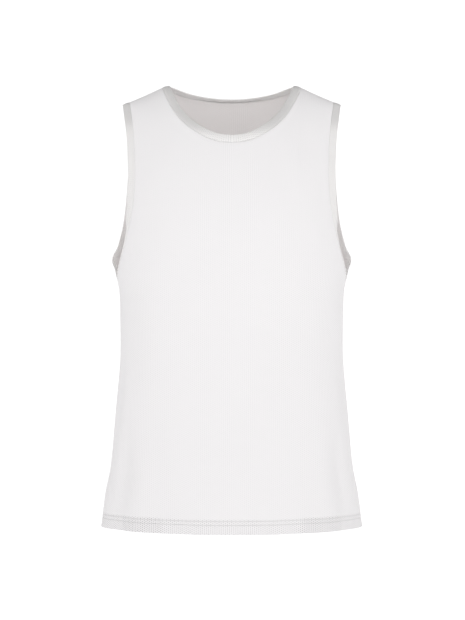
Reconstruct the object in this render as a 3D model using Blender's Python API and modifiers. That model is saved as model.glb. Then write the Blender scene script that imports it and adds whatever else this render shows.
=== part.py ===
"""Mesh training bib: a sleeveless pull-over vest with a round neck, filled out as worn with nobody in it.

A maker cuts five pieces: a front, a back and three strips that bind the neck and the armholes. The hem is the
panels' own cloth, turned up and sewn down. Each piece is one thin wall lying on a shared form. Metres, +Z up.
The front faces -Y and the wearer's left is +X. The origin lies midway between the two points where the
shoulder seams meet the neck, where the wearer's shoulders carry the bib.
"""

from collections import namedtuple
from math import cos, pi, sin

import bmesh
import bpy
from mathutils import Vector

# Cloth
CLOTH = 0.0012  # one layer of mesh, as a wall
HEM_WALL = 2 * CLOTH
GAP = 0.0003  # clearance kept at each seam
HEM_DEPTH = 0.020  # cloth turned up inside at the bottom edge
HEM_STEP = 0.0015  # height over which the turned-up layer ends

# Heights
HEM_Z = -0.651
CHEST_Z = -0.300  # up to here the wall hangs, and above it rolls back to the shoulder
BODY = CHEST_Z - HEM_Z  # length of cloth from the hem up to the chest line
ROLL = 0.325  # length of cloth from the chest line up to the shoulder seam
SHOULDER = BODY + ROLL

# Sections of the form at distances up the cloth from the hem. The two wides are the half widths of the front
# and the back, front and back are the depths either side of the seam plane, and round says how full the
# corners are, from 0.6, square, to 1.2, pointed.
Section = namedtuple("Section", "up front_wide back_wide front back round")
SECTIONS = [
    Section(0.000, 0.1946, 0.1946, 0.122, 0.112, 1.20),
    Section(0.050, 0.1882, 0.1882, 0.122, 0.112, 1.10),
    Section(0.090, 0.1803, 0.1803, 0.122, 0.111, 1.00),
    Section(0.170, 0.1728, 0.1728, 0.123, 0.110, 0.90),
    Section(0.250, 0.1658, 0.1658, 0.124, 0.110, 0.85),
    Section(0.310, 0.1657, 0.1657, 0.125, 0.112, 0.80),
    Section(0.351, 0.1669, 0.1669, 0.126, 0.114, 0.75),
    Section(0.359, 0.1690, 0.1690, 0.126, 0.115, 0.74),
    Section(0.371, 0.1715, 0.1745, 0.126, 0.116, 0.72),
    Section(0.386, 0.1710, 0.1835, 0.126, 0.117, 0.70),
    Section(0.402, 0.1700, 0.1780, 0.126, 0.118, 0.70),
    Section(0.440, 0.1675, 0.1710, 0.125, 0.118, 0.70),
    Section(0.500, 0.1660, 0.1680, 0.121, 0.118, 0.70),
    Section(0.580, 0.1660, 0.1680, 0.113, 0.115, 0.70),
    Section(0.630, 0.1690, 0.1690, 0.108, 0.112, 0.70),
    Section(0.676, 0.1720, 0.1720, 0.105, 0.108, 0.70),
]

# Height of the shoulder line by its distance from the middle
Ridge = namedtuple("Ridge", "out height")
RIDGE = [
    Ridge(0.000, 0.0270),
    Ridge(0.030, 0.0253),
    Ridge(0.060, 0.0191),
    Ridge(0.080, 0.0123),
    Ridge(0.096, 0.0055),
    Ridge(0.107, 0.0004),
    Ridge(0.120, -0.0057),
    Ridge(0.134, -0.0120),
    Ridge(0.149, -0.0181),
    Ridge(0.163, -0.0234),
    Ridge(0.175, -0.0278),
]

FRONT, BACK = -1, 1
FULL = {FRONT: 1.0, BACK: 0.75}  # how the wall rolls to the shoulder: 1 is an even arc, less is fuller

# Seams where the bands are sewn on, from share 0 to the shoulder seam at share 1. turn is the share of the
# quarter round from the middle to the side, and up is the distance up the cloth from the hem.
Seam = namedtuple("Seam", "share front_turn front_up back_turn back_up")
NECKLINE = [
    Seam(0.00, 0.000, 0.498, 0.000, 0.571),
    Seam(0.15, 0.087, 0.501, 0.085, 0.573),
    Seam(0.30, 0.173, 0.511, 0.170, 0.580),
    Seam(0.50, 0.275, 0.533, 0.270, 0.596),
    Seam(0.70, 0.350, 0.564, 0.354, 0.623),
    Seam(0.85, 0.400, 0.608, 0.400, 0.652),
    Seam(1.00, 0.418, 0.676, 0.418, 0.676),
]
ARMHOLE = [
    Seam(0.00, 1.000, 0.359, 1.000, 0.359),
    Seam(0.06, 0.910, 0.364, 0.920, 0.366),
    Seam(0.12, 0.835, 0.376, 0.840, 0.378),
    Seam(0.22, 0.740, 0.402, 0.765, 0.404),
    Seam(0.36, 0.657, 0.450, 0.720, 0.446),
    Seam(0.55, 0.659, 0.516, 0.690, 0.516),
    Seam(0.78, 0.700, 0.600, 0.700, 0.600),
    Seam(1.00, 0.690, 0.676, 0.690, 0.676),
]
BAND = 0.012  # width of the band that binds each opening
BAND_WALL = 0.0020  # the strip is folded over the raw edges
BAND_ROOT = 0.003  # part of the band next to the seam, which lies in line with the panel
NAPE_LEAN = 0.72  # how far the neck band leans in behind the neck, in radians
SHOULDER_LEAN = 0.20  # and over the shoulders
UNDERARM_LEAN = 1.2  # how far an armhole band curls in under the arm, on the front
CURL_START, CURL_END, CURL_FADE = 0.07, 0.21, 0.10  # shares of the armhole where it does
FLARE = 0.30  # how far it stands away from the body above that
FLARE_START, FLARE_END, FLARE_FADE = 0.28, 0.72, 0.14

# Grids
NECK_STEPS = 10  # faces along a quarter of the neckline
SHOULDER_STEPS = 4
SIDE_STEPS = 8
ARM_STEPS = 18  # faces along half an armhole
EVEN_COLUMNS = NECK_STEPS + SHOULDER_STEPS
EVEN_ROWS = SIDE_STEPS + ARM_STEPS
SIDE_ALLOWANCE = 0.988  # a narrow column runs beside the side seam
TOP_ALLOWANCE = 0.990  # a narrow row runs beside the shoulder seam
COLUMNS = [k / EVEN_COLUMNS for k in range(EVEN_COLUMNS)] + [SIDE_ALLOWANCE, 1.0]
ROWS = [k / EVEN_ROWS for k in range(EVEN_ROWS)] + [TOP_ALLOWANCE, 1.0]
HALF_COLUMNS = len(COLUMNS) - 1
HEM_TOP = HEM_DEPTH + HEM_STEP
HEM_LEVELS = [0.0, HEM_DEPTH, HEM_TOP]
HEM_ROWS = len(HEM_LEVELS) - 1
BAND_LEVELS = [GAP, BAND_ROOT, (BAND_ROOT + BAND) / 2, BAND]  # rows of points across a band
PROBE = 0.004  # step used to find a direction on the form
MERGE = 1e-6

# Finish
PANEL_COLOUR = (0.860, 0.850, 0.855)
BAND_COLOUR = (0.800, 0.790, 0.790)
ROUGHNESS = 0.85


def read(table, at):
    """The row of a table at a value of its first column, on a smooth curve through its rows."""
    i = max(k for k in range(len(table) - 1) if k == 0 or table[k][0] <= at)
    a, b = table[i], table[i + 1]
    before, after = table[max(i - 1, 0)], table[min(i + 2, len(table) - 1)]
    span = b[0] - a[0]
    t = min(max((at - a[0]) / span, 0.0), 1.0)
    found = []
    for k in range(1, len(a)):
        m0 = (b[k] - before[k]) / (b[0] - before[0]) * span
        m1 = (after[k] - a[k]) / (after[0] - a[0]) * span
        found.append(
            (2 * t**3 - 3 * t**2 + 1) * a[k] + (t**3 - 2 * t**2 + t) * m0
            + (3 * t**2 - 2 * t**3) * b[k] + (t**3 - t**2) * m1
        )
    return type(a)(at, *found)


def form(face, turn, up):
    """A point of the form's outer surface."""
    size = read(SECTIONS, up)
    wide, deep = (size.front_wide, size.front) if face == FRONT else (size.back_wide, size.back)
    angle = abs(turn) * pi / 2
    x = wide * sin(angle)
    y = deep * max(cos(angle), 0.0) ** size.round
    if up <= BODY:
        z = HEM_Z + up
    else:
        roll = min((up - BODY) / ROLL, 1.0) * pi / 2
        z = CHEST_Z + (read(RIDGE, x).height - CHEST_Z) * sin(roll)
        y *= max(cos(roll), 0.0) ** FULL[face]
    return (x if turn >= 0 else -x, face * (y + GAP / 2), z)


def seam_point(table, face, share):
    """A point of a seam as turn and up."""
    row = read(table, share)
    return (row.front_turn, row.front_up) if face == FRONT else (row.back_turn, row.back_up)


def outward(face, turn, up):
    """The direction straight out of the form at a point of it."""
    side = 1 if turn >= 0 else -1
    ahead, behind = min(abs(turn) + PROBE, 1.0), abs(turn) - PROBE
    above, below = min(up + PROBE, SHOULDER), up - PROBE
    sideways = Vector(form(face, side * ahead, up)) - Vector(form(face, side * behind, up))
    upward = Vector(form(face, turn, above)) - Vector(form(face, turn, below))
    return (sideways.cross(upward) * -face * side).normalized()


def top_edge(face, across):
    """A point of a panel's top edge, from the middle at 0, by the neck and the shoulder, to the tip at 1."""
    column = across * EVEN_COLUMNS
    if column <= NECK_STEPS:
        return seam_point(NECKLINE, face, column / NECK_STEPS)
    share = (column - NECK_STEPS) / SHOULDER_STEPS
    neck, tip = NECKLINE[-1].front_turn, ARMHOLE[-1].front_turn
    return neck + (tip - neck) * share, SHOULDER


def side_edge(face, rise):
    """A point of a panel's side edge, from the hem at 0, by the side and the armhole, to the tip at 1."""
    row = rise * EVEN_ROWS
    if row <= SIDE_STEPS:
        return 1.0, HEM_TOP + (ARMHOLE[0].front_up - HEM_TOP) * row / SIDE_STEPS
    return seam_point(ARMHOLE, face, (row - SIDE_STEPS) / ARM_STEPS)


def panel_point(face, across, rise):
    """A point inside a panel, blended from its four edges: the hem, the middle line, the side and the top."""
    top_turn, top_up = top_edge(face, across)
    side_turn, side_up = side_edge(face, rise)
    tip_turn, tip_up = top_edge(face, 1.0)
    middle_up = top_edge(face, 0.0)[1]
    turn = (1 - rise) * across + rise * top_turn + across * side_turn
    turn -= across * (1 - rise + rise * tip_turn)
    up = (1 - rise) * HEM_TOP + rise * top_up + across * side_up
    up += (1 - across) * (HEM_TOP + (middle_up - HEM_TOP) * rise)
    up -= (1 - rise) * HEM_TOP + rise * ((1 - across) * middle_up + across * tip_up)
    return turn, up


def neck_places():
    """Places round the neckline, from the middle of the front by the wearer's left shoulder."""
    half = [(FRONT, k / NECK_STEPS) for k in range(NECK_STEPS + 1)]
    half += [(BACK, k / NECK_STEPS) for k in reversed(range(NECK_STEPS))]
    left = [(face, *seam_point(NECKLINE, face, share), share) for face, share in half]
    right = [(face, -turn, up, share) for face, turn, up, share in reversed(left[1:-1])]
    return left + right


def arm_places(side):
    """Places round an armhole, with the opening always on the same hand."""
    loop = [(BACK, k / ARM_STEPS) for k in range(ARM_STEPS + 1)]
    loop += [(FRONT, k / ARM_STEPS) for k in reversed(range(1, ARM_STEPS))]
    places = [(face, *seam_point(ARMHOLE, face, share), share) for face, share in loop]
    places = [(face, side * turn, up, share) for face, turn, up, share in places]
    return places if side > 0 else places[::-1]


def ease(value):
    """0 to 1 on a soft S curve."""
    t = min(max(value, 0.0), 1.0)
    return t * t * (3 - 2 * t)


def neck_lean(face, share):
    """How far the neck band leans in: most at the nape, less over the shoulders and not at all in front."""
    if face == FRONT:
        return SHOULDER_LEAN * ease(share)
    return SHOULDER_LEAN + (NAPE_LEAN - SHOULDER_LEAN) * cos(share * pi / 2)


def armhole_lean(face, share):
    """How far an armhole band leans in: on the front it curls in under the arm and stands away above."""
    if face == BACK:
        return 0.0
    curl = UNDERARM_LEAN * ease(share / CURL_START) * (1 - ease((share - CURL_END) / CURL_FADE))
    flare = FLARE * ease((share - FLARE_START) / FLARE_FADE) * (1 - ease((share - FLARE_END) / FLARE_FADE))
    return curl - flare


def band_rows(places, lean):
    """Rows of points round an opening, from just clear of the seam out to the band's free edge."""
    seam = [Vector(form(face, turn, up)) for face, turn, up, share in places]
    rows = []
    for out in BAND_LEVELS:
        points = []
        for i, (face, turn, up, share) in enumerate(places):
            normal = outward(face, turn, up)
            run = seam[(i + 1) % len(seam)] - seam[i - 1]
            across = normal.cross(run).normalized()
            tilt = lean(face, share)
            leaning = across * cos(tilt) - normal * sin(tilt)
            points.append(seam[i] + across * min(out, BAND_ROOT) + leaning * max(out - BAND_ROOT, 0.0))
        rows.append(points)
    return rows


# Pieces


def grid(columns, rows):
    """A flat grid of quads and the column and row of each of its vertices."""
    bm = bmesh.new()
    bmesh.ops.create_grid(bm, x_segments=columns, y_segments=rows, size=0.5)
    places = {v: (round((v.co.x + 0.5) * columns), round((v.co.y + 0.5) * rows)) for v in bm.verts}
    return bm, places


def cloth_object(name, bm, wall, offset, colour):
    """An object whose open surface becomes a wall: an offset of -1 puts it all inside the surface."""
    mesh = bpy.data.meshes.new(name)
    bm.to_mesh(mesh)
    bm.free()
    piece = bpy.data.objects.new(name, mesh)
    piece.parent = bib
    collection.objects.link(piece)
    mesh.materials.append(cloth_material(name, colour))
    solid = piece.modifiers.new("Cloth", "SOLIDIFY")
    solid.thickness = wall
    solid.offset = offset
    solid.use_even_offset = True
    solid.use_quality_normals = True
    return piece, solid


def cloth_material(name, colour):
    material = bpy.data.materials.new(name + "_mesh")
    material.use_nodes = True
    shader = material.node_tree.nodes["Principled BSDF"]
    shader.inputs["Base Color"].default_value = (*colour, 1.0)
    shader.inputs["Roughness"].default_value = ROUGHNESS
    shader.inputs["Metallic"].default_value = 0.0
    return material


def panel(name, face):
    """The front or the back: both halves of its grid, blended between its edges, with a double hem."""
    columns, rows = 2 * HALF_COLUMNS, HEM_ROWS + len(ROWS) - 1
    bm, places = grid(columns, rows)
    hem = []
    for vertex, (column, row) in places.items():
        side = 1 if column >= HALF_COLUMNS else -1
        across = COLUMNS[abs(column - HALF_COLUMNS)]
        if row <= HEM_ROWS:
            turn, up = across, HEM_LEVELS[row]
        else:
            turn, up = panel_point(face, across, ROWS[row - HEM_ROWS])
        vertex.co = form(face, side * turn, up)
        if row < HEM_ROWS:
            hem.append(vertex.index)
    if face == BACK:
        bmesh.ops.reverse_faces(bm, faces=bm.faces)
    piece, solid = cloth_object(name, bm, HEM_WALL, -1.0, PANEL_COLOUR)
    group = piece.vertex_groups.new(name="hem")
    group.add(hem, 1.0, "REPLACE")
    solid.vertex_group = group.name
    solid.thickness_vertex_group = CLOTH / HEM_WALL


def band(name, places, lean):
    """A strip that binds an opening, its ends joined into a ring."""
    points = band_rows(places, lean)
    bm, spots = grid(len(places), len(BAND_LEVELS) - 1)
    for vertex, (column, row) in spots.items():
        vertex.co = points[row][column % len(places)]
    bmesh.ops.remove_doubles(bm, verts=bm.verts, dist=MERGE)
    proud = (BAND_WALL - CLOTH) / 2
    cloth_object(name, bm, BAND_WALL, 2 * proud / BAND_WALL - 1, BAND_COLOUR)


for leftover in list(bpy.data.objects):
    bpy.data.objects.remove(leftover, do_unlink=True)
collection = bpy.data.collections.new("mesh_training_bib")
bpy.context.scene.collection.children.link(collection)
bib = bpy.data.objects.new("mesh_training_bib", None)
collection.objects.link(bib)

panel("front_panel", FRONT)
panel("back_panel", BACK)
band("neck_binding", neck_places(), neck_lean)
band("armhole_binding_left", arm_places(1), armhole_lean)
band("armhole_binding_right", arm_places(-1), armhole_lean)
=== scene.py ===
"""Looks of a mesh training bib, filled out as worn with nobody in it.

The cloth is a front and a back panel of eyelet mesh, bound at the neck and the armholes with folded
strips, and turned up at the hem under two rows of stitching. Every piece follows the same form as the
solid it stands for. Metres, +Z up, the front faces -Y, and the wearer's left is +X.
"""

from collections import namedtuple
from math import atan2, cos, exp, hypot, pi, sin

import bmesh
import bpy
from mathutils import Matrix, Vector


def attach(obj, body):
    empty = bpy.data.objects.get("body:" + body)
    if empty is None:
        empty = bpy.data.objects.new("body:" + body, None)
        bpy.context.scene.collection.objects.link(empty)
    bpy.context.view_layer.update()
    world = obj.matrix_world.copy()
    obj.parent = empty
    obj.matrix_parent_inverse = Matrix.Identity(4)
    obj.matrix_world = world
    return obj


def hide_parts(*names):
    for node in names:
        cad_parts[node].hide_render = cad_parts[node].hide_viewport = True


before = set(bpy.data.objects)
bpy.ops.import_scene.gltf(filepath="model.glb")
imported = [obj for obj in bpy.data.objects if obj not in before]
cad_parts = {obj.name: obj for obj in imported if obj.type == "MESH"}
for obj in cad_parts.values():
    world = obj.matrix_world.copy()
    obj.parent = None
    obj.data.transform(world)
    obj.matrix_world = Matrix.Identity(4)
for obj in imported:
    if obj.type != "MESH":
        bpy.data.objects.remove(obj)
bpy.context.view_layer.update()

# Heights
HEM_Z = -0.651
CHEST_Z = -0.300  # up to here the wall hangs, and above it rolls back to the shoulder
BODY = CHEST_Z - HEM_Z  # length of cloth from the hem up to the chest line
ROLL = 0.325  # length of cloth from the chest line up to the shoulder seam
SHOULDER = BODY + ROLL

# Sections of the form at distances up the cloth from the hem: half widths of the front and the back, depths
# of the front and the back, and how full the corners are.
Section = namedtuple("Section", "up front_wide back_wide front back round")
SECTIONS = [
    Section(0.000, 0.1946, 0.1946, 0.122, 0.112, 1.20),
    Section(0.050, 0.1882, 0.1882, 0.122, 0.112, 1.10),
    Section(0.090, 0.1803, 0.1803, 0.122, 0.111, 1.00),
    Section(0.170, 0.1728, 0.1728, 0.123, 0.110, 0.90),
    Section(0.250, 0.1658, 0.1658, 0.124, 0.110, 0.85),
    Section(0.310, 0.1657, 0.1657, 0.125, 0.112, 0.80),
    Section(0.351, 0.1669, 0.1669, 0.126, 0.114, 0.75),
    Section(0.359, 0.1690, 0.1690, 0.126, 0.115, 0.74),
    Section(0.371, 0.1715, 0.1745, 0.126, 0.116, 0.72),
    Section(0.386, 0.1710, 0.1835, 0.126, 0.117, 0.70),
    Section(0.402, 0.1700, 0.1780, 0.126, 0.118, 0.70),
    Section(0.440, 0.1675, 0.1710, 0.125, 0.118, 0.70),
    Section(0.500, 0.1660, 0.1680, 0.121, 0.118, 0.70),
    Section(0.580, 0.1660, 0.1680, 0.113, 0.115, 0.70),
    Section(0.630, 0.1690, 0.1690, 0.108, 0.112, 0.70),
    Section(0.676, 0.1720, 0.1720, 0.105, 0.108, 0.70),
]

# Height of the shoulder line by its distance from the middle
Ridge = namedtuple("Ridge", "out height")
RIDGE = [
    Ridge(0.000, 0.0270),
    Ridge(0.030, 0.0253),
    Ridge(0.060, 0.0191),
    Ridge(0.080, 0.0123),
    Ridge(0.096, 0.0055),
    Ridge(0.107, 0.0004),
    Ridge(0.120, -0.0057),
    Ridge(0.134, -0.0120),
    Ridge(0.149, -0.0181),
    Ridge(0.163, -0.0234),
    Ridge(0.175, -0.0278),
]

FRONT, BACK = -1, 1
FULL = {FRONT: 1.0, BACK: 0.75}  # how the wall rolls to the shoulder: 1 is an even arc, and less is fuller

# Seams of the bindings, from share 0 to the shoulder seam at share 1
Seam = namedtuple("Seam", "share front_turn front_up back_turn back_up")
NECKLINE = [
    Seam(0.00, 0.000, 0.498, 0.000, 0.571),
    Seam(0.15, 0.087, 0.501, 0.085, 0.573),
    Seam(0.30, 0.173, 0.511, 0.170, 0.580),
    Seam(0.50, 0.275, 0.533, 0.270, 0.596),
    Seam(0.70, 0.350, 0.564, 0.354, 0.623),
    Seam(0.85, 0.400, 0.608, 0.400, 0.652),
    Seam(1.00, 0.418, 0.676, 0.418, 0.676),
]
ARMHOLE = [
    Seam(0.00, 1.000, 0.359, 1.000, 0.359),
    Seam(0.06, 0.910, 0.364, 0.920, 0.366),
    Seam(0.12, 0.835, 0.376, 0.840, 0.378),
    Seam(0.22, 0.740, 0.402, 0.765, 0.404),
    Seam(0.36, 0.657, 0.450, 0.720, 0.446),
    Seam(0.55, 0.659, 0.516, 0.690, 0.516),
    Seam(0.78, 0.700, 0.600, 0.700, 0.600),
    Seam(1.00, 0.690, 0.676, 0.690, 0.676),
]
BAND = 0.012  # width of the binding once it is folded and sewn on
BAND_ROOT = 0.003  # part of it next to the seam that lies in line with the panel
NAPE_LEAN = 0.72  # how far the neck band leans in behind the neck, in radians
SHOULDER_LEAN = 0.20  # and over the shoulders
UNDERARM_LEAN = 1.2  # how far an armhole band curls in under the arm, on the front
CURL_START, CURL_END, CURL_FADE = 0.07, 0.21, 0.10  # shares of the armhole where it does
FLARE = 0.30  # how far it stands away from the body above that
FLARE_START, FLARE_END, FLARE_FADE = 0.28, 0.72, 0.14
PROBE = 0.004  # step used to find a direction on the form

# Cloth
CLOTH = 0.0008  # thickness of the mesh cloth
EASE = 0.0002  # air between two layers that lie on each other
FOLD = CLOTH + EASE / 2  # radius of a folded edge, outside
SEAM_CLEARANCE = 0.00006  # air between two pieces at the seam that joins them
SEAM_DIP = 0.0004  # how deep the cloth is drawn in along a seam
SEAM_DRAW = 0.0020  # how far from the seam that reaches
FOLD_STEPS = 6  # faces round a folded edge
BAND_PLUMP = 0.0004  # how far a binding swells out between its seam and its fold
BAND_STEPS = 9  # faces across each side of it

# Hem
HEM_DEPTH = 0.020
RAW_EDGE = 0.0012  # the turned-up edge ends this far below the top of the hem
HEM_ROWS_INSIDE, HEM_ROWS_OUTSIDE = 12, 28
STITCH_ROWS = (0.0140, 0.0196)  # heights of the two rows of stitching above the bottom edge
STITCH_GROOVE = 0.00060  # how deep a row of stitching draws the cloth in
STITCH_GROOVE_WIDTH = 0.0010
STITCH_PITCH = 0.0030
HEM_END = 0.005  # how far from the side seams the looped thread ends
STITCH_GAP = 0.18  # share of a stitch's pitch where the thread is down in the cloth
STITCH_PROUD = -0.00005  # how far the middle of a stitch stands out of the cloth
THREAD_WIDE = 0.00055
THREAD_SIDES = 6
THREAD_TAPER = 0.3  # how much of a stitch's end is drawn in, as a share of its width

# Seam allowances inside: two layers overlocked together, in from the seam over the wrong side of the back
ALLOWANCE = 0.006
ALLOWANCE_START = 0.0004  # where it begins, next to the seam
ALLOWANCE_DEPTH = CLOTH + SEAM_DIP + EASE + 2 * CLOTH
ALLOWANCE_ROWS = 5  # faces across it
ALLOWANCE_STEPS = 24  # how finely the form is measured for its width
SIDE_REACH, SHOULDER_REACH = 0.16, 0.020  # how far in that is: round from a side, down from a shoulder
SIDE_COLUMNS, SHOULDER_COLUMNS = 48, 20  # faces along it

# Grids
NECK_STEPS = 40
SHOULDER_STEPS = 14
SIDE_STEPS = 56
ARM_STEPS = 64
EVEN_COLUMNS = NECK_STEPS + SHOULDER_STEPS
EVEN_ROWS = SIDE_STEPS + ARM_STEPS
# Narrow columns and rows run beside the seams.
COLUMNS = [k / EVEN_COLUMNS for k in range(EVEN_COLUMNS)] + [0.9905, 0.9950, 0.9980, 1.0]
ROWS = [k / EVEN_ROWS for k in range(EVEN_ROWS)] + [0.9950, 0.9980, 1.0]
HALF_COLUMNS = len(COLUMNS) - 1
LEVEL_STEPS, TURN_STEPS = 80, 48  # how finely the form is measured for the flat pattern
GRAIN_TURN = 0.35  # the lengthwise grain is measured up this line

# Creases that the cloth holds: place by the distance round the cloth from the middle and the height, half
# length and half width, slant from upright towards the wearer's left, and depth, a trough where negative
Crease = namedtuple("Crease", "face across height length width slant depth")
CREASES = [
    # front, flutes above the lower corners
    Crease(FRONT, -0.176, -0.575, 0.075, 0.017, 0.10, -0.0040),
    Crease(FRONT, -0.140, -0.590, 0.060, 0.020, 0.05, 0.0026),
    Crease(FRONT, 0.178, -0.580, 0.070, 0.016, -0.12, -0.0042),
    Crease(FRONT, 0.143, -0.585, 0.066, 0.019, -0.04, 0.0024),
    Crease(FRONT, -0.200, -0.470, 0.060, 0.014, 0.16, -0.0024),
    Crease(FRONT, 0.198, -0.455, 0.055, 0.015, -0.12, -0.0026),
    # front, waist and middle
    Crease(FRONT, -0.160, -0.340, 0.070, 0.022, -0.22, -0.0018),
    Crease(FRONT, 0.165, -0.350, 0.064, 0.020, 0.26, -0.0020),
    Crease(FRONT, 0.004, -0.480, 0.052, 0.024, 0.08, -0.0016),
    Crease(FRONT, -0.046, -0.360, 0.030, 0.020, 0.35, -0.0010),
    Crease(FRONT, 0.044, -0.352, 0.034, 0.016, -0.95, -0.0010),
    Crease(FRONT, -0.080, -0.520, 0.060, 0.024, -0.15, 0.0012),
    Crease(FRONT, 0.086, -0.505, 0.066, 0.022, 0.20, 0.0012),
    # front, drag from the armholes and the shoulders
    Crease(FRONT, -0.135, -0.262, 0.060, 0.016, -0.85, -0.0011),
    Crease(FRONT, 0.138, -0.255, 0.052, 0.015, 0.90, -0.0012),
    Crease(FRONT, -0.112, -0.085, 0.036, 0.020, 0.60, -0.0008),
    Crease(FRONT, 0.115, -0.090, 0.030, 0.020, -0.70, -0.0008),
    # back
    Crease(BACK, -0.168, -0.560, 0.085, 0.018, 0.08, -0.0067),
    Crease(BACK, 0.160, -0.570, 0.078, 0.017, -0.10, -0.0074),
    Crease(BACK, -0.110, -0.580, 0.064, 0.022, 0.03, 0.0042),
    Crease(BACK, 0.104, -0.560, 0.072, 0.021, -0.06, 0.0045),
    Crease(BACK, -0.030, -0.545, 0.090, 0.024, 0.06, -0.0035),
    Crease(BACK, 0.050, -0.500, 0.070, 0.022, -0.08, -0.0029),
    Crease(BACK, -0.100, -0.380, 0.070, 0.018, -0.45, -0.0042),
    Crease(BACK, 0.106, -0.370, 0.062, 0.018, 0.52, -0.0045),
    Crease(BACK, -0.070, -0.300, 0.056, 0.016, -0.62, -0.0026),
    Crease(BACK, 0.135, -0.262, 0.055, 0.014, 0.85, -0.0038),
    Crease(BACK, -0.138, -0.250, 0.052, 0.014, -0.80, -0.0035),
    Crease(BACK, 0.058, -0.070, 0.046, 0.020, 1.05, -0.0015),
    Crease(BACK, -0.066, -0.080, 0.052, 0.022, -1.15, -0.0017),
    Crease(BACK, -0.012, -0.180, 0.080, 0.034, 0.05, -0.0024),
    Crease(BACK, 0.052, -0.230, 0.060, 0.026, 0.30, -0.0018),
]
CREASE_REACH = 2.5  # how far a crease is felt, in half lengths and half widths
EDGE_FADE = 0.030  # creases die away this near an edge
RIPPLE = 0.00035  # height of the soft unevenness of cloth that hangs free

# Eyelet mesh
COLUMN_PITCH = 0.0030  # between neighbouring columns of holes
HOLE_PITCH = 0.0030  # between holes in a column, and every other column is half a step up
HOLE_RADIUS = 0.00055
HOLE_EDGE = (0.75, 1.2)  # the open part ends between these, in hole radii
RIM_END = 2.2  # and the rounded rim ends here
RIB_PITCH = 0.00075
RIB_HEIGHT = 0.12  # height of the knit's fine ribs, as a share of the rim's
KNIT_RELIEF = 0.0003
SEWN_SHADE = 0.10  # how much painted shade darkens the cloth where stitches draw it in
SEWN_REACH = 2.2  # how far that reaches from a stitch, in widths of thread
HEM_FADE = 0.004  # the hem's look ends softly over this height
CLOUD_TONE = 0.03  # how much the cloth's tone varies over a panel
LINED_UP = (0.105, 0.174)  # from here to here round the hem from its middle, its two layers' eyelets line up: they open more, and more painted shade darkens their rims
LINED_FADE = 0.006
PARTLY_SHUT = 0.4  # how much they show elsewhere in the hem, as a share of that
PAINTED_SHADE_FADE = 0.024  # painted shade: the bindings grow darker over this height at the shoulders
PAINTED_SHADE_TOP = (-0.040, -0.012)  # heights from where the painted shade is less again
PAINTED_SHADE_LESS = 0.3
PAINTED_SHADE_BEHIND = (-0.004, 0.020)  # where the painted shade ends, from front to back
OVERLOCK_PITCH = 0.0022
OVERLOCK_SLANT = 0.35
OVERLOCK_SHADE = 0.10  # painted shade: how much darker it is between its loops of thread
OVERLOCK_RELIEF = 0.0004

# Camera
EYE = Vector((0.0012, -3.0, -0.329))
VIEW_HEIGHT = 0.9238  # height of what the camera takes in at the seam plane
SENSOR = 36.0

# Studio
HORIZON_REACH = 0.6  # how far above and below level the light of the horizon reaches, as a sine
FLOOR_Z = -1.45
FLOOR_SIZE = 8.0
FLOOR_RIM = (1.2, 3.4)  # it fades out between these distances from its middle


# Form


def ease(value):
    """0 to 1 on a soft S curve."""
    t = min(max(value, 0.0), 1.0)
    return t * t * (3 - 2 * t)


def read(table, at):
    """The row of a table at a value of its first column, on a smooth curve through its rows."""
    i = max(k for k in range(len(table) - 1) if k == 0 or table[k][0] <= at)
    a, b = table[i], table[i + 1]
    before, after = table[max(i - 1, 0)], table[min(i + 2, len(table) - 1)]
    span = b[0] - a[0]
    t = min(max((at - a[0]) / span, 0.0), 1.0)
    found = []
    for k in range(1, len(a)):
        m0 = (b[k] - before[k]) / (b[0] - before[0]) * span
        m1 = (after[k] - a[k]) / (after[0] - a[0]) * span
        found.append(
            (2 * t**3 - 3 * t**2 + 1) * a[k] + (t**3 - 2 * t**2 + t) * m0
            + (3 * t**2 - 2 * t**3) * b[k] + (t**3 - t**2) * m1
        )
    return type(a)(at, *found)


def form(face, turn, up):
    """A point of the form's outer surface."""
    size = read(SECTIONS, up)
    wide, deep = (size.front_wide, size.front) if face == FRONT else (size.back_wide, size.back)
    angle = abs(turn) * pi / 2
    x = wide * sin(angle)
    y = deep * max(cos(angle), 0.0) ** size.round
    if up <= BODY:
        z = HEM_Z + up
    else:
        roll = min((up - BODY) / ROLL, 1.0) * pi / 2
        z = CHEST_Z + (read(RIDGE, x).height - CHEST_Z) * sin(roll)
        y *= max(cos(roll), 0.0) ** FULL[face]
    return Vector((x if turn >= 0 else -x, face * (y + SEAM_CLEARANCE), z))


def seam_point(table, face, share):
    """A point of a seam as turn and up."""
    row = read(table, share)
    return (row.front_turn, row.front_up) if face == FRONT else (row.back_turn, row.back_up)


def outward(face, turn, up):
    """The direction straight out of the form at a point of it."""
    side = 1 if turn >= 0 else -1
    ahead, behind = min(abs(turn) + PROBE, 1.0), abs(turn) - PROBE
    above, below = min(up + PROBE, SHOULDER), up - PROBE
    sideways = form(face, side * ahead, up) - form(face, side * behind, up)
    upward = form(face, turn, above) - form(face, turn, below)
    return (sideways.cross(upward) * -face * side).normalized()


def top_edge(face, across):
    """A point of a panel's top edge, from the middle at 0, by the neck and the shoulder, to the tip at 1."""
    column = across * EVEN_COLUMNS
    if column <= NECK_STEPS:
        return seam_point(NECKLINE, face, column / NECK_STEPS)
    share = (column - NECK_STEPS) / SHOULDER_STEPS
    neck, tip = NECKLINE[-1].front_turn, ARMHOLE[-1].front_turn
    return neck + (tip - neck) * share, SHOULDER


def side_edge(face, rise):
    """A point of a panel's side edge, from the hem at 0, by the side and the armhole, to the tip at 1."""
    row = rise * EVEN_ROWS
    if row <= SIDE_STEPS:
        return 1.0, HEM_DEPTH + (ARMHOLE[0].front_up - HEM_DEPTH) * row / SIDE_STEPS
    return seam_point(ARMHOLE, face, (row - SIDE_STEPS) / ARM_STEPS)


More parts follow.
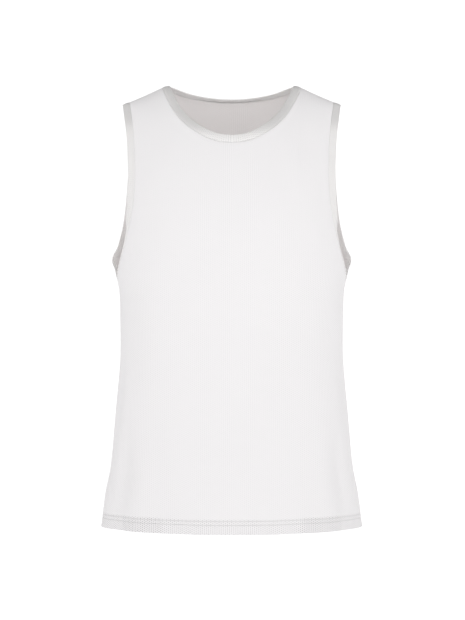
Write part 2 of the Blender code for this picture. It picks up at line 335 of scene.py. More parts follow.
def panel_point(face, across, rise):
    """A point inside a panel, blended from its four edges: the hem, the middle line, the side and the top."""
    top_turn, top_up = top_edge(face, across)
    side_turn, side_up = side_edge(face, rise)
    tip_turn, tip_up = top_edge(face, 1.0)
    middle_up = top_edge(face, 0.0)[1]
    turn = (1 - rise) * across + rise * top_turn + across * side_turn
    turn -= across * (1 - rise + rise * tip_turn)
    up = (1 - rise) * HEM_DEPTH + rise * top_up + across * side_up
    up += (1 - across) * (HEM_DEPTH + (middle_up - HEM_DEPTH) * rise)
    up -= (1 - rise) * HEM_DEPTH + rise * ((1 - across) * middle_up + across * tip_up)
    return turn, up


def neck_lean(face, share):
    """How far the neck band leans in: most at the nape, less over the shoulders and not at all in front."""
    if face == FRONT:
        return SHOULDER_LEAN * ease(share)
    return SHOULDER_LEAN + (NAPE_LEAN - SHOULDER_LEAN) * cos(share * pi / 2)


def armhole_lean(face, share):
    """How far an armhole band leans in: on the front it curls in under the arm and stands away above."""
    if face == BACK:
        return 0.0
    curl = UNDERARM_LEAN * ease(share / CURL_START) * (1 - ease((share - CURL_END) / CURL_FADE))
    flare = FLARE * ease((share - FLARE_START) / FLARE_FADE) * (1 - ease((share - FLARE_END) / FLARE_FADE))
    return curl - flare


def neck_places():
    """Places round the neckline, from the middle of the front by the wearer's left shoulder."""
    half = [(FRONT, k / NECK_STEPS) for k in range(NECK_STEPS + 1)]
    half += [(BACK, k / NECK_STEPS) for k in reversed(range(NECK_STEPS))]
    left = [(face, *seam_point(NECKLINE, face, share), share) for face, share in half]
    right = [(face, -turn, up, share) for face, turn, up, share in reversed(left[1:-1])]
    return left + right


def arm_places(side):
    """Places round an armhole, with the opening always on the same hand."""
    loop = [(BACK, k / ARM_STEPS) for k in range(ARM_STEPS + 1)]
    loop += [(FRONT, k / ARM_STEPS) for k in reversed(range(1, ARM_STEPS))]
    places = [(face, *seam_point(ARMHOLE, face, share), share) for face, share in loop]
    places = [(face, side * turn, up, share) for face, turn, up, share in places]
    return places if side > 0 else places[::-1]


# Mesh helpers


def arc_lengths(points):
    """How far along a line each of its points is."""
    total, found = 0.0, [0.0]
    for a, b in zip(points, points[1:]):
        total += (b - a).length
        found.append(total)
    return found


def grid_normals(rows, closed):
    """Directions out of the right side of a grid of points, whose columns may close on themselves."""
    count, last = len(rows[0]), len(rows) - 1
    normals = []
    for j, row in enumerate(rows):
        above, below = rows[min(j + 1, last)], rows[max(j - 1, 0)]
        found = []
        for i in range(count):
            before = (i - 1) % count if closed else max(i - 1, 0)
            after = (i + 1) % count if closed else min(i + 1, count - 1)
            found.append((row[after] - row[before]).cross(above[i] - below[i]).normalized())
        normals.append(found)
    return normals


def loose_mesh(name, bm):
    """A piece made of the faces of a bmesh."""
    mesh = bpy.data.meshes.new(name)
    bm.to_mesh(mesh)
    bm.free()
    piece = bpy.data.objects.new(name, mesh)
    bpy.context.scene.collection.objects.link(piece)
    return piece


def joined(pieces):
    """The pieces as one."""
    bpy.ops.object.select_all(action="DESELECT")
    for piece in pieces:
        piece.select_set(True)
    bpy.context.view_layer.objects.active = pieces[0]
    bpy.ops.object.join()
    return pieces[0]


def band_map(rows):
    """The place of each point of a ring on its flat strip, in metres: along it and across it."""
    count = len(rows[0])
    half = rows[len(rows) // 2]
    whole = arc_lengths(half + half[:1])[-1]
    down = [0.0] * count
    maps = []
    for j, row in enumerate(rows):
        if j:
            down = [down[i] + (row[i] - rows[j - 1][i]).length for i in range(count)]
        lengths = arc_lengths(row + row[:1])
        maps.append([(lengths[i] * whole / lengths[-1], down[i % count]) for i in range(count + 1)])
    return maps


def cloth_shell(name, rows, maps, wall, finishes, closed=False):
    """A closed shell of cloth: its right side lies on the rows of points, its wrong side a wall behind."""
    count, last = len(rows[0]), len(rows) - 1
    normals = grid_normals(rows, closed)
    back = [[p - n * wall for p, n in zip(row, found)] for row, found in zip(rows, normals)]
    bm = bmesh.new()
    cloth_map = bm.loops.layers.uv.new("Cloth")
    right = [[bm.verts.new(point) for point in row] for row in rows]
    wrong = [[bm.verts.new(point) for point in row] for row in back]

    def add(corners, finish=0):
        face = bm.faces.new([side[j][i % count] for side, j, i in corners])
        face.material_index = finish
        for loop, (side, j, i) in zip(face.loops, corners):
            loop[cloth_map].uv = maps[j][i]
        face.smooth = True

    for j in range(last):
        for i in range(count if closed else count - 1):
            add([(right, j, i), (right, j, i + 1), (right, j + 1, i + 1), (right, j + 1, i)])
            add([(wrong, j, i), (wrong, j + 1, i), (wrong, j + 1, i + 1), (wrong, j, i + 1)], 1)
    for i in range(count if closed else count - 1):
        add([(right, 0, i), (wrong, 0, i), (wrong, 0, i + 1), (right, 0, i + 1)])
        add([(right, last, i), (right, last, i + 1), (wrong, last, i + 1), (wrong, last, i)])
    for j in range(0 if closed else last):
        add([(right, j, 0), (right, j + 1, 0), (wrong, j + 1, 0), (wrong, j, 0)])
        edge = count - 1
        add([(right, j, edge), (wrong, j, edge), (wrong, j + 1, edge), (right, j + 1, edge)])
    piece = loose_mesh(name, bm)
    for finish in finishes:
        piece.data.materials.append(finish)
    return piece


# Panels


def crease_relief(face, across, height):
    """How far the creases lift the cloth at a place of a panel."""
    lift = 0.0
    for c in CREASES:
        if c.face != face:
            continue
        right, up = across - c.across, height - c.height
        along = (up * cos(c.slant) + right * sin(c.slant)) / c.length
        aside = (right * cos(c.slant) - up * sin(c.slant)) / c.width
        if max(abs(along), abs(aside)) < CREASE_REACH:
            lift += c.depth * exp(-along * along) * exp(-aside * aside)
    return lift


def ripple(across, height):
    """Soft unevenness of cloth that hangs free."""
    return RIPPLE * (
        sin(across * 61 + 1.3 * sin(height * 17)) * sin(height * 23 + 0.7)
        + 0.6 * sin(across * 113 + height * 41 + 2.0)
    )


def hem_profile():
    """The hem as (height, depth) from its raw edge inside, down round the fold and up the outside."""
    profile = []
    top = HEM_DEPTH - RAW_EDGE
    for k in range(HEM_ROWS_INSIDE):
        profile.append((top - (top - FOLD) * k / HEM_ROWS_INSIDE, 2 * FOLD))
    for k in range(FOLD_STEPS + 1):
        angle = pi * k / FOLD_STEPS
        profile.append((FOLD - FOLD * sin(angle), FOLD + FOLD * cos(angle)))
    for k in range(1, HEM_ROWS_OUTSIDE):
        height = FOLD + (HEM_DEPTH - FOLD) * k / HEM_ROWS_OUTSIDE
        profile.append((height, stitch_groove(height)))
    return profile


def stitch_groove(height):
    """How deep the cloth is drawn in at a height above the bottom edge."""
    return sum(STITCH_GROOVE * exp(-(((height - row) / STITCH_GROOVE_WIDTH) ** 2)) for row in STITCH_ROWS)


def panel_rows(face):
    """Rows of points from a panel's hem to its top, their places, and how many rows are the hem's."""
    signs = [(-1, k) for k in range(HALF_COLUMNS, 0, -1)] + [(1, k) for k in range(HALF_COLUMNS + 1)]
    rows, places = [], []
    for height, depth in hem_profile():
        turns = [side * COLUMNS[k] for side, k in signs]
        rows.append([form(face, turn, height) - outward(face, turn, height) * depth for turn in turns])
        inside = depth > FOLD
        places.append([(turn, -height - pi * FOLD if inside else height) for turn in turns])
    hem_count = len(rows)
    for rise in ROWS:
        found = [(side, *panel_point(face, COLUMNS[k], rise)) for side, k in signs]
        rows.append([form(face, side * turn, up) for side, turn, up in found])
        places.append([(side * turn, up) for side, turn, up in found])
    return rows, places, hem_count


def flat_pattern(face, places):
    """Where each place lies on the panel's flat cut: round from the middle and up from the hem."""
    levels = [SHOULDER * k / LEVEL_STEPS for k in range(LEVEL_STEPS + 1)]
    turns = [k / TURN_STEPS for k in range(TURN_STEPS + 1)]
    rings = [arc_lengths([form(face, turn, level) for turn in turns]) for level in levels]
    heights = arc_lengths([form(face, GRAIN_TURN, level) for level in levels])

    def at(values, share):
        low = min(int(share), len(values) - 2)
        return values[low] + (values[low + 1] - values[low]) * (share - low)

    pattern = []
    for row in places:
        found = []
        for turn, up in row:
            level = max(up, 0.0) / SHOULDER * LEVEL_STEPS
            low = min(int(level), LEVEL_STEPS - 1)
            near, far = [at(ring, abs(turn) * TURN_STEPS) for ring in rings[low:low + 2]]
            round_body = near + (far - near) * (level - low)
            found.append((round_body if turn >= 0 else -round_body, at(heights, level) if up >= 0 else up))
        pattern.append(found)
    return pattern


def shaped_rows(face):
    """The panel's rows with its creases, and its edges drawn in along the seams, and its flat pattern."""
    rows, places, hem_count = panel_rows(face)
    pattern = flat_pattern(face, places)
    normals = [[normal * -face for normal in row] for row in grid_normals(rows, False)]
    lengths = [arc_lengths(row) for row in rows]
    columns = [arc_lengths([row[i] for row in rows]) for i in range(len(rows[0]))]
    shaped = []
    for j, row in enumerate(rows):
        points = []
        for i, point in enumerate(row):
            to_side = min(lengths[j][i], lengths[j][-1] - lengths[j][i])
            to_top = columns[i][-1] - columns[i][j]
            fade = ease(to_side / EDGE_FADE) * ease(to_top / EDGE_FADE)
            across = pattern[j][i][0]
            lift = fade * (crease_relief(face, across, point.z) + ripple(across, point.z))
            dip = SEAM_DIP * exp(-((min(to_side, to_top) / SEAM_DRAW) ** 2))
            points.append(point + normals[max(j, hem_count)][i] * (lift - dip))
        shaped.append(points)
    return shaped, pattern


def panel_pieces(side, face):
    """A panel, and the stitching of its hem."""
    rows, pattern = shaped_rows(face)
    if face == BACK:
        rows = [row[::-1] for row in rows]
        pattern = [row[::-1] for row in pattern]
    cloth = cloth_shell(side + "_panel_cloth", rows, pattern, CLOTH, (PANEL_CLOTH, PANEL_INSIDE_SHADED))
    return cloth, hem_stitching(side + "_hem_stitching", rows)


# Bindings


def band_profile():
    """A folded strip as (out from the seam, depth), from outside round the fold to the inside."""
    profile = []
    for k in range(BAND_STEPS):
        out = SEAM_CLEARANCE + (BAND - FOLD - SEAM_CLEARANCE) * k / BAND_STEPS
        plump = BAND_PLUMP * sin(pi * out / BAND)
        profile.append((out, SEAM_DIP * exp(-((out / SEAM_DRAW) ** 2)) - plump))
    for k in range(FOLD_STEPS + 1):
        angle = pi * k / FOLD_STEPS
        profile.append((BAND - FOLD + FOLD * sin(angle), FOLD - FOLD * cos(angle)))
    for k in range(1, BAND_STEPS):
        out = (BAND - FOLD) * (1 - k / BAND_STEPS)
        profile.append((out, 2 * FOLD))
    return profile


def band_points(places, lean):
    """Rows of points of a folded strip, from its raw edge outside to the one inside."""
    seam = [form(face, turn, up) for face, turn, up, share in places]
    spots = []
    for i, (face, turn, up, share) in enumerate(places):
        normal = outward(face, turn, up)
        run = seam[(i + 1) % len(seam)] - seam[i - 1]
        across = normal.cross(run).normalized()
        tilt = lean(face, share)
        spots.append((seam[i], normal, across, tilt))
    rows = []
    for out, depth in band_profile():
        row = []
        for start, normal, across, tilt in spots:
            leaning = across * cos(tilt) - normal * sin(tilt)
            local = normal * cos(tilt) + across * sin(tilt) if out > BAND_ROOT else normal
            edge = start + across * min(out, BAND_ROOT) + leaning * max(out - BAND_ROOT, 0.0)
            row.append(edge - local * depth)
        rows.append(row)
    return rows


def band(name, places, lean, cloth):
    """A folded strip that binds an opening, as a ring."""
    rows = band_points(places, lean)
    return cloth_shell(name, rows, band_map(rows), CLOTH, (cloth, cloth), closed=True)


# Stitching


def seam_line(points):
    """A curve through the points, for stitches to follow."""
    line = bpy.data.curves.new("seam_line", "CURVE")
    line.dimensions = "3D"
    line.twist_mode = "Z_UP"
    spline = line.splines.new("POLY")
    spline.points.add(len(points) - 1)
    for spot, point in zip(spline.points, points):
        spot.co = (*point, 1.0)
    guide = bpy.data.objects.new("seam_line", line)
    bpy.context.scene.collection.objects.link(guide)
    return guide


def thread_bar(length, place, lean):
    """One stitch, a plump bar of thread along X whose ends are drawn in."""
    bpy.ops.object.select_all(action="DESELECT")
    upright = (0.0, pi / 2 - lean, 0.0)
    bpy.ops.mesh.primitive_cylinder_add(
        vertices=THREAD_SIDES, radius=THREAD_WIDE / 2, depth=length, location=place, rotation=upright
    )
    bar = bpy.context.object
    bpy.ops.object.transform_apply(location=False, rotation=False, scale=True)
    bpy.ops.object.mode_set(mode="EDIT")
    bpy.ops.mesh.select_all(action="DESELECT")
    ends = bmesh.from_edit_mesh(bar.data)
    for face in ends.faces:
        face.select_set(len(face.verts) == THREAD_SIDES)
    bmesh.update_edit_mesh(bar.data)
    bpy.ops.mesh.bevel(offset=THREAD_WIDE * THREAD_TAPER, segments=2, affect="EDGES")
    bpy.ops.mesh.select_all(action="SELECT")
    bpy.ops.mesh.faces_shade_smooth()
    bpy.ops.object.mode_set(mode="OBJECT")
    bpy.ops.object.transform_apply(location=True, rotation=True, scale=True)
    return bar


def sew(stitch, points, pitch):
    """Repeats a stitch along a line on the cloth, at close to its pitch."""
    guide = seam_line(points)
    length = arc_lengths(points)[-1]
    count = round(length / pitch)
    bpy.ops.object.select_all(action="DESELECT")
    bpy.context.view_layer.objects.active = stitch
    stitch.select_set(True)
    bpy.ops.object.modifier_add(type="ARRAY")
    repeat = stitch.modifiers[-1]
    repeat.use_relative_offset = False
    repeat.use_constant_offset = True
    repeat.constant_offset_displace = (length / count, 0.0, 0.0)
    repeat.count = count
    bpy.ops.object.modifier_add(type="CURVE")
    follow = stitch.modifiers[-1]
    follow.object = guide
    follow.deform_axis = "POS_X"
    for modifier in (repeat.name, follow.name):
        bpy.ops.object.modifier_apply(modifier=modifier)
    bpy.data.objects.remove(guide)


def hem_line(rows, normals, height, depth):
    """The line across a panel's outside at a height above its bottom edge, sunk into the cloth by a depth."""
    heights = [up for up, sunk in hem_profile()] + [HEM_DEPTH]
    below = max(j for j, up in enumerate(heights[:-1]) if up <= height < heights[j + 1])
    share = (height - heights[below]) / (heights[below + 1] - heights[below])
    beside = zip(rows[below], rows[below + 1], normals[below])
    return [a + (b - a) * share - normal * depth for a, b, normal in beside]


def clear_of_ends(points):
    """The part of a line that stays clear of the side seams."""
    lengths = arc_lengths(points)
    return [point for point, at in zip(points, lengths) if HEM_END < at < lengths[-1] - HEM_END]


def hem_stitching(name, rows):
    """Two rows of straight stitches outside, and the looped thread that joins them inside."""
    normals = grid_normals(rows, False)
    bars = []
    for height in STITCH_ROWS:
        bar = thread_bar(STITCH_PITCH * (1 - STITCH_GAP), (STITCH_PITCH / 2, 0.0, 0.0), 0.0)
        sew(bar, hem_line(rows, normals, height, -STITCH_PROUD), STITCH_PITCH)
        bars.append(bar)
    middle = sum(STITCH_ROWS) / 2
    rise = STITCH_ROWS[1] - STITCH_ROWS[0]
    lean = atan2(rise, STITCH_PITCH / 2)
    slope = hypot(rise, STITCH_PITCH / 2)
    up_and_down = ((0.25, lean), (0.75, -lean))
    inside = joined([thread_bar(slope, (STITCH_PITCH * k, 0.0, 0.0), way) for k, way in up_and_down])
    wrong_side = hem_line(rows, normals, middle, 2 * FOLD + CLOTH + STITCH_PROUD)
    sew(inside, clear_of_ends(wrong_side), STITCH_PITCH)
    piece = joined([*bars, inside])
    piece.name = name
    return piece


# Seams inside


def turned_in(face, turn, up, step_turn, step_up, distances):
    """Points under the wrong side of a panel at distances in from a seam."""
    shares = [k / ALLOWANCE_STEPS for k in range(ALLOWANCE_STEPS + 1)]
    line = [(turn + step_turn * share, up + step_up * share) for share in shares]
    lengths = arc_lengths([form(face, *place) for place in line])
    found = []
    for distance in distances:
        i = max(k for k in range(ALLOWANCE_STEPS) if lengths[k] <= distance)
        share = (distance - lengths[i]) / (lengths[i + 1] - lengths[i])
        across = line[i][0] + (line[i + 1][0] - line[i][0]) * share
        height = line[i][1] + (line[i + 1][1] - line[i][1]) * share
        found.append(form(face, across, height) - outward(face, across, height) * ALLOWANCE_DEPTH)
    return found


def seam_allowance(name, seam, step_turn, step_up, flip):
    """The two raw edges of a seam, overlocked together and pressed to the back."""
    step = (ALLOWANCE - ALLOWANCE_START) / ALLOWANCE_ROWS
    distances = [ALLOWANCE_START + step * k for k in range(ALLOWANCE_ROWS + 1)]
    columns = [turned_in(BACK, turn, up, step_turn, step_up, distances) for turn, up in seam]
    if flip:
        columns.reverse()
    rows = [[column[j] for column in columns] for j in range(len(distances))]
    maps = [[(along, distance) for along in arc_lengths(row)] for row, distance in zip(rows, distances)]
    return cloth_shell(name, rows, maps, 2 * CLOTH, (OVERLOCK, OVERLOCK))


def side_allowance(name, side):
    """From the top of the hem to the armhole's binding."""
    low, top = HEM_DEPTH + EASE, ARMHOLE[0].back_up - BAND_ROOT
    seam = [(side, low + (top - low) * k / SIDE_COLUMNS) for k in range(SIDE_COLUMNS + 1)]
    return seam_allowance(name, seam, -side * SIDE_REACH, 0.0, side < 0)


def shoulder_allowance(name, side):
    """From the neck to the tip of the shoulder."""
    neck, tip = NECKLINE[-1].back_turn, ARMHOLE[-1].back_turn
    step = (tip - neck) / SHOULDER_COLUMNS
    seam = [(side * (neck + step * k), SHOULDER) for k in range(SHOULDER_COLUMNS + 1)]
    return seam_allowance(name, seam, 0.0, -SHOULDER_REACH, side > 0)


# Materials


def feed(tree, value, socket):
    """Links a socket to another, or sets it to a number."""
    if isinstance(value, bpy.types.NodeSocket):
        tree.links.new(value, socket)
    else:
        socket.default_value = value


def math_node(tree, operation, *values):
    """A sum worked out on sockets and numbers."""
    node = tree.nodes.new("ShaderNodeMath")
    node.operation = operation
    for socket, value in zip(node.inputs, values):
        feed(tree, value, socket)
    return node.outputs[0]


def plus(tree, a, b):
    return math_node(tree, "ADD", a, b)


def minus(tree, a, b):
    return math_node(tree, "SUBTRACT", a, b)


def times(tree, a, b):
    return math_node(tree, "MULTIPLY", a, b)


def soft_step(tree, value, low, high):
    """0 below low and 1 above high, on a soft S curve."""
    node = tree.nodes.new("ShaderNodeMapRange")
    node.interpolation_type = "SMOOTHSTEP"
    for name, given in (("Value", value), ("From Min", low), ("From Max", high)):
        feed(tree, given, node.inputs[name])
    return node.outputs["Result"]


def separate(tree, vector):
    """The three parts of a vector."""
    split = tree.nodes.new("ShaderNodeSeparateXYZ")
    tree.links.new(vector, split.inputs[0])
    return split.outputs["X"], split.outputs["Y"], split.outputs["Z"]


def object_place(tree):
    """A place on the bib, in metres."""
    return tree.nodes.new("ShaderNodeTexCoord").outputs["Object"]


def cloth_place(tree):
    """A place on the cut cloth, in metres."""
    cloth_map = tree.nodes.new("ShaderNodeUVMap")
    cloth_map.uv_map = "Cloth"
    return cloth_map.outputs["UV"]


def noise(tree, place, scale, detail):
    """Soft clouds, from 0 to 1."""
    cloud = tree.nodes.new("ShaderNodeTexNoise")
    cloud.inputs["Scale"].default_value = scale
    cloud.inputs["Detail"].default_value = detail
    tree.links.new(place, cloud.inputs["Vector"])
    return cloud.outputs["Fac"]


def new_material(name, roughness):
    """A material, its tree and its shader."""
    material = bpy.data.materials.new(name)
    material.use_nodes = True
    tree = material.node_tree
    shader = tree.nodes["Principled BSDF"]
    shader.inputs["Roughness"].default_value = roughness
    return material, tree, shader


def tint(tree, shader, colour, brightness):
    """Gives a shader a colour whose brightness changes over the surface."""
    scaled = tree.nodes.new("ShaderNodeVectorMath")
    scaled.operation = "SCALE"
    scaled.inputs[0].default_value = colour
    tree.links.new(brightness, scaled.inputs["Scale"])
    tree.links.new(scaled.outputs[0], shader.inputs["Base Color"])


def emboss(tree, shader, height, strength, distance):
    """Gives a shader a fine relief."""
    bump = tree.nodes.new("ShaderNodeBump")
    bump.inputs["Strength"].default_value = strength
    bump.inputs["Distance"].default_value = distance
    tree.links.new(height, bump.inputs["Height"])
    tree.links.new(bump.outputs["Normal"], shader.inputs["Normal"])


def hole_distance(tree, u, v, column_pitch, hole_pitch, shift_u, shift_v):
    """Distance to the nearest hole of one set of columns, which is every other one."""
    squares = []
    for at, pitch, repeat, shift in ((u, column_pitch, 2.0, shift_u), (v, hole_pitch, 1.0, shift_v)):
        moved = plus(tree, at, times(tree, pitch, shift))
        low, high = times(tree, pitch, -repeat / 2), times(tree, pitch, repeat / 2)
        away = math_node(tree, "WRAP", moved, high, low)
        squares.append(times(tree, away, away))
    return math_node(tree, "SQRT", plus(tree, *squares))


def mesh_knit_group():
    """Staggered eyelets with rounded rims, and the fine ribs of the knit between them."""
    tree = bpy.data.node_groups.new("mesh_knit", "ShaderNodeTree")
    sides = tree.interface
    sides.new_socket("Cloth", in_out="INPUT", socket_type="NodeSocketVector")
    for name in ("Column Pitch", "Hole Pitch", "Hole Radius", "Rib Pitch", "Open"):
        sides.new_socket(name, in_out="INPUT", socket_type="NodeSocketFloat")
    for name in ("Solid", "Rim", "Height"):
        sides.new_socket(name, in_out="OUTPUT", socket_type="NodeSocketFloat")
    given = tree.nodes.new("NodeGroupInput").outputs
    put = tree.nodes.new("NodeGroupOutput").inputs
    u, v, flat = separate(tree, given["Cloth"])
    pitches = given["Column Pitch"], given["Hole Pitch"]
    distances = [hole_distance(tree, u, v, *pitches, *shift) for shift in ((0.0, 0.0), (1.0, 0.5))]
    distance = math_node(tree, "MINIMUM", *distances)
    inner, outer, far = [times(tree, given["Hole Radius"], share) for share in (*HOLE_EDGE, RIM_END)]
    closed = soft_step(tree, distance, inner, outer)
    rise = soft_step(tree, distance, inner, far)
    wave = math_node(tree, "DIVIDE", times(tree, u, 2 * pi), given["Rib Pitch"])
    rib = times(tree, math_node(tree, "SINE", wave), RIB_HEIGHT)
    hole = times(tree, minus(tree, 1.0, closed), given["Open"])
    tree.links.new(minus(tree, 1.0, hole), put["Solid"])
    # Rim is 1 at a hole's edge and 0 where its rounded rim ends: where painted shade darkens the rim
    tree.links.new(minus(tree, 1.0, rise), put["Rim"])
    tree.links.new(plus(tree, rise, rib), put["Height"])
    return tree


def knit_pattern(tree, cloth, opened):
    """The mesh knit laid out on the cut cloth, with its eyelets open by a share."""
    knit = tree.nodes.new("ShaderNodeGroup")
    knit.node_tree = KNIT
    tree.links.new(cloth, knit.inputs["Cloth"])
    knit.inputs["Column Pitch"].default_value = COLUMN_PITCH
    knit.inputs["Hole Pitch"].default_value = HOLE_PITCH
    knit.inputs["Hole Radius"].default_value = HOLE_RADIUS
    knit.inputs["Rib Pitch"].default_value = RIB_PITCH
    feed(tree, opened, knit.inputs["Open"])
    return knit.outputs


def shoulder_shade_mask(tree, place, low):
    """Where shade is painted on the bindings: 1 on the front of the shoulders, less at their very top, and 0
    below them and behind.
    """
    across, deep, height = separate(tree, place)
    up = soft_step(tree, height, low, low + PAINTED_SHADE_FADE)
    top = times(tree, soft_step(tree, height, *PAINTED_SHADE_TOP), PAINTED_SHADE_LESS)
    in_front = minus(tree, 1.0, soft_step(tree, deep, *PAINTED_SHADE_BEHIND))
    return times(tree, times(tree, up, minus(tree, 1.0, top)), in_front)


def hem_masks(tree, cloth):
    """1 in the hem, 1 along its rows of stitching, and 1 where the eyelets of its two layers line up."""
    across, up, flat = separate(tree, cloth)
    from_middle = math_node(tree, "ABSOLUTE", across)
    in_hem = minus(tree, 1.0, soft_step(tree, up, HEM_DEPTH, HEM_DEPTH + HEM_FADE))
    sewn = 0.0
    for height in STITCH_ROWS:
        away = math_node(tree, "ABSOLUTE", minus(tree, up, height))
        row = minus(tree, 1.0, soft_step(tree, away, THREAD_WIDE / 2, THREAD_WIDE * SEWN_REACH))
        sewn = plus(tree, row, sewn)
    near, far = [soft_step(tree, from_middle, edge - LINED_FADE, edge + LINED_FADE) for edge in LINED_UP]
    return in_hem, sewn, minus(tree, near, far)


def hemmed(tree, cloth, knit, hem):
    """The openness of the eyelets, and the painted shade of their rims and of the stitched lines, with a hem.
    """
    in_hem, sewn, lined_up = hem_masks(tree, cloth)
    share = plus(tree, times(tree, lined_up, 1 - PARTLY_SHUT), PARTLY_SHUT)
    share = times(tree, share, in_hem)
    opened = plus(tree, times(tree, share, hem.open), knit.open)
    shade = plus(tree, times(tree, share, hem.shade), knit.shade)
    return times(tree, opened, minus(tree, 1.0, sewn)), shade, sewn


def knit_material(name, knit, hem=None, painted_shade=None):
    """Eyelet mesh cloth, patterned on the cloth's own map."""
    material, tree, shader = new_material(name, 0.82)
    shader.inputs["Sheen Weight"].default_value = 0.12
    shader.inputs["Sheen Roughness"].default_value = 0.45
    shader.inputs["Specular IOR Level"].default_value = 0.25
    cloth, place = cloth_place(tree), object_place(tree)
    opened, shade, sewn = hemmed(tree, cloth, knit, hem) if hem else (knit.open, knit.shade, 0.0)
    pattern = knit_pattern(tree, cloth, opened)
    tone = times(tree, minus(tree, noise(tree, place, knit.clouds, 3.0), 0.5), CLOUD_TONE)
    # painted shade on the eyelets' rims
    bright = minus(tree, plus(tree, tone, 1.0), times(tree, pattern["Rim"], shade))
    # painted shade along the rows of stitching
    if hem:
        bright = minus(tree, bright, times(tree, sewn, SEWN_SHADE))
    # painted shade on the bindings over the shoulders
    if painted_shade:
        bright = minus(tree, bright, times(tree, shoulder_shade_mask(tree, place, painted_shade.low), painted_shade.shade))
    tint(tree, shader, knit.colour, bright)
    tree.links.new(pattern["Solid"], shader.inputs["Alpha"])
    emboss(tree, shader, pattern["Height"], knit.relief, KNIT_RELIEF)
    return material


def thread_material(name, colour):
    """Spun sewing thread with a faint twist."""
    material, tree, shader = new_material(name, 0.6)
    twist = noise(tree, object_place(tree), 1800.0, 2.0)
    tint(tree, shader, colour, plus(tree, times(tree, twist, 0.2), 0.9))
    return material


def overlock_material(name, colour):
    """Edges of the cloth wrapped in slanting loops of thread."""
    material, tree, shader = new_material(name, 0.75)
    along, across, flat = separate(tree, cloth_place(tree))
    slanted = plus(tree, along, times(tree, across, OVERLOCK_SLANT))
    wave = math_node(tree, "COSINE", times(tree, slanted, 2 * pi / OVERLOCK_PITCH))
    loop = soft_step(tree, wave, 0.0, 0.8)
    # painted shade between the loops of thread
    tint(tree, shader, colour, plus(tree, times(tree, loop, OVERLOCK_SHADE), 1 - OVERLOCK_SHADE))
    emboss(tree, shader, loop, 0.8, OVERLOCK_RELIEF)
    return material


KNIT = mesh_knit_group()

# A knit's colour, how open its eyelets look, how much painted shade darkens their rims, how strong its relief
# is, and the scale of its clouds of tone
Knit = namedtuple("Knit", "colour open shade relief clouds")
BODY_KNIT = Knit((0.863, 0.848, 0.855), 0.10, 0.01, 0.15, 7.0)
# the wrong side is the same cloth, made darker and warmer as painted shade inside the bib
SHADED_INSIDE_KNIT = Knit((0.798, 0.771, 0.766), 0.12, 0.03, 0.3, 7.0)
BAND_KNIT = Knit((0.898, 0.883, 0.876), 0.5, 0.18, 0.6, 9.0)
Hem = namedtuple("Hem", "open shade")  # what a hem adds to them: more open eyelets and more painted shade on their rims
PaintedShade = namedtuple("PaintedShade", "shade low")  # how much painted shade darkens a binding over the shoulders, from a height

# in the hem, more painted shade darkens the eyelets' rims
PANEL_CLOTH = knit_material("panel_eyelet_mesh", BODY_KNIT, hem=Hem(0.65, 0.25))
# painted shade: the panels' wrong side is a darker copy of their cloth
PANEL_INSIDE_SHADED = knit_material("panel_eyelet_mesh_inside_shaded", SHADED_INSIDE_KNIT)
# the bindings carry painted shade over the shoulders
NECK_CLOTH = knit_material("neck_binding_eyelet_mesh", BAND_KNIT, painted_shade=PaintedShade(0.20, -0.081))
ARM_CLOTH = knit_material("armhole_binding_eyelet_mesh", BAND_KNIT, painted_shade=PaintedShade(0.17, -0.070))
OVERLOCK = overlock_material("overlocked_edge", (0.80, 0.775, 0.77))
# the thread is white; its grey is painted shade along the stitched grooves
THREAD = thread_material("sewing_thread", (0.66, 0.65, 0.65))


# Studio


def add_camera():
    """A camera square to the front, level with the middle of the bib."""
    bpy.ops.object.select_all(action="DESELECT")
    bpy.ops.object.camera_add(location=EYE, rotation=(pi / 2, 0.0, 0.0))
    camera = bpy.context.object
    camera.name = "camera"
    camera.data.sensor_width = SENSOR
    camera.data.lens = SENSOR * -EYE.y / VIEW_HEIGHT
    camera.data.dof.use_dof = False
    bpy.context.scene.camera = camera


def add_light(kind, name, place, power):
    """A light that no camera sees."""
    bpy.ops.object.light_add(type=kind, location=place)
    light = bpy.context.object
    light.name = name
    light.data.energy = power
    light.visible_camera = False
    return light


def add_softbox(name, place, target, wide, high, power):
    """A flat light turned to a target."""
    light = add_light("AREA", name, place, power)
    light.rotation_euler = (Vector(target) - Vector(place)).to_track_quat("-Z", "Y").to_euler()
    light.data.shape = "RECTANGLE"
    light.data.size = wide
    light.data.size_y = high


def add_inner_glow(place, radius, power):
    """Light inside the bib, as comes through white cloth."""
    light = add_light("POINT", "inner_glow", place, power)
    light.data.shadow_soft_size = radius


def add_world(camera_white, horizon, zenith, nadir):
    """A white surround, seen as pure white, whose light is fullest level with the bib."""
    world = bpy.data.worlds.new("studio")
    bpy.context.scene.world = world
    world.use_nodes = True
    tree = world.node_tree
    background = tree.nodes["Background"]
    background.inputs["Color"].default_value = (1.0, 1.0, 1.0, 1.0)
    across, deep, up = separate(tree, tree.nodes.new("ShaderNodeTexCoord").outputs["Generated"])
    light = horizon
    for way, strength in ((1.0, zenith), (-1.0, nadir)):
        share = soft_step(tree, times(tree, up, way), 0.0, HORIZON_REACH)
        light = plus(tree, times(tree, share, strength - horizon), light)
    seen = tree.nodes.new("ShaderNodeLightPath").outputs["Is Camera Ray"]
    shown = times(tree, seen, camera_white)
    total = plus(tree, shown, times(tree, light, minus(tree, 1.0, seen)))
    tree.links.new(total, background.inputs["Strength"])


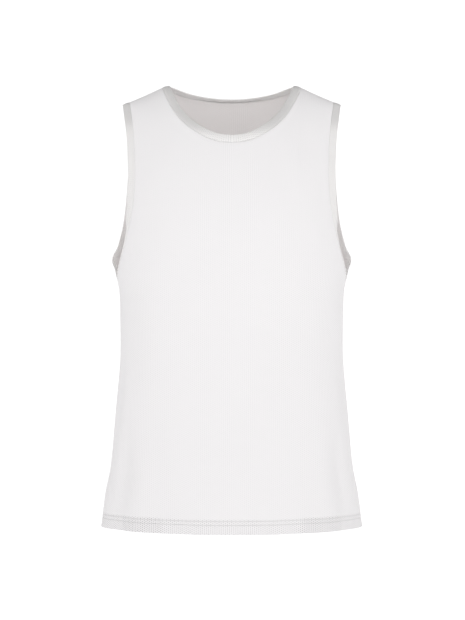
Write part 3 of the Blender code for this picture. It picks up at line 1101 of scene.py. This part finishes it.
def add_floor():
    """A pale floor, seen from above only, that fades out at its rim and lights nothing."""
    bpy.ops.mesh.primitive_plane_add(size=FLOOR_SIZE, location=(0.0, 0.0, FLOOR_Z))
    floor = bpy.context.object
    floor.name = "studio_floor"
    material, tree, shader = new_material("floor_paint", 0.9)
    shader.inputs["Base Color"].default_value = (0.86, 0.86, 0.86, 1.0)
    shader.inputs["Emission Color"].default_value = (1.0, 1.0, 1.0, 1.0)
    shader.inputs["Emission Strength"].default_value = 0.52
    length = tree.nodes.new("ShaderNodeVectorMath")
    length.operation = "LENGTH"
    tree.links.new(object_place(tree), length.inputs[0])
    rim = soft_step(tree, length.outputs["Value"], *FLOOR_RIM)
    below = tree.nodes.new("ShaderNodeNewGeometry").outputs["Backfacing"]
    shown = times(tree, minus(tree, 1.0, below), minus(tree, 1.0, rim))
    tree.links.new(shown, shader.inputs["Alpha"])
    floor.data.materials.append(material)
    floor.visible_diffuse = False
    floor.visible_glossy = False


scene = bpy.context.scene
scene.view_settings.view_transform = "Standard"
scene.view_settings.look = "None"
add_camera()
add_world(camera_white=1.15, horizon=1.62, zenith=0.30, nadir=0.66)
add_floor()
add_softbox("key", (0.25, -3.0, 1.2), target=(0.0, 0.0, -0.15), wide=1.6, high=1.6, power=21.0)
add_softbox("back_light", (0.8, 3.2, 0.8), target=(0.0, 0.0, -0.3), wide=2.4, high=2.4, power=8.0)
for side in (-1, 1):
    add_inner_glow((side * 0.115, 0.02, -0.29), radius=0.04, power=0.045)
    add_inner_glow((side * 0.135, 0.02, -0.18), radius=0.03, power=0.015)

front, front_stitching = panel_pieces("front", FRONT)
back, back_stitching = panel_pieces("back", BACK)
neck = band("neck_binding_cloth", neck_places(), neck_lean, NECK_CLOTH)
left = band("armhole_binding_left_cloth", arm_places(1), armhole_lean, ARM_CLOTH)
right = band("armhole_binding_right_cloth", arm_places(-1), armhole_lean, ARM_CLOTH)
allowances = [
    side_allowance("side_seam_left", 1),
    side_allowance("side_seam_right", -1),
    shoulder_allowance("shoulder_seam_left", 1),
    shoulder_allowance("shoulder_seam_right", -1),
]

# What shows of each cut: its width and length, and its area where it isn't a rectangle
for piece, node, flat, area, held, sewn_on in (
    (front, "front_panel", (0.495, 0.720), 0.267, "draped", [front_stitching]),
    (back, "back_panel", (0.482, 0.727), 0.278, "draped", [back_stitching, *allowances]),
    (neck, "neck_binding", (0.641, 0.024), None, "folded", []),
    (left, "armhole_binding_left", (0.659, 0.024), None, "folded", []),
    (right, "armhole_binding_right", (0.659, 0.024), None, "folded", []),
):
    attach(piece, "root")
    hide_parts(node)

for piece, slot in ((front_stitching, "front_panel_mesh"), (back_stitching, "back_panel_mesh")):
    piece.data.materials.append(THREAD)
    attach(piece, "root")

for piece in allowances:
    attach(piece, "root")
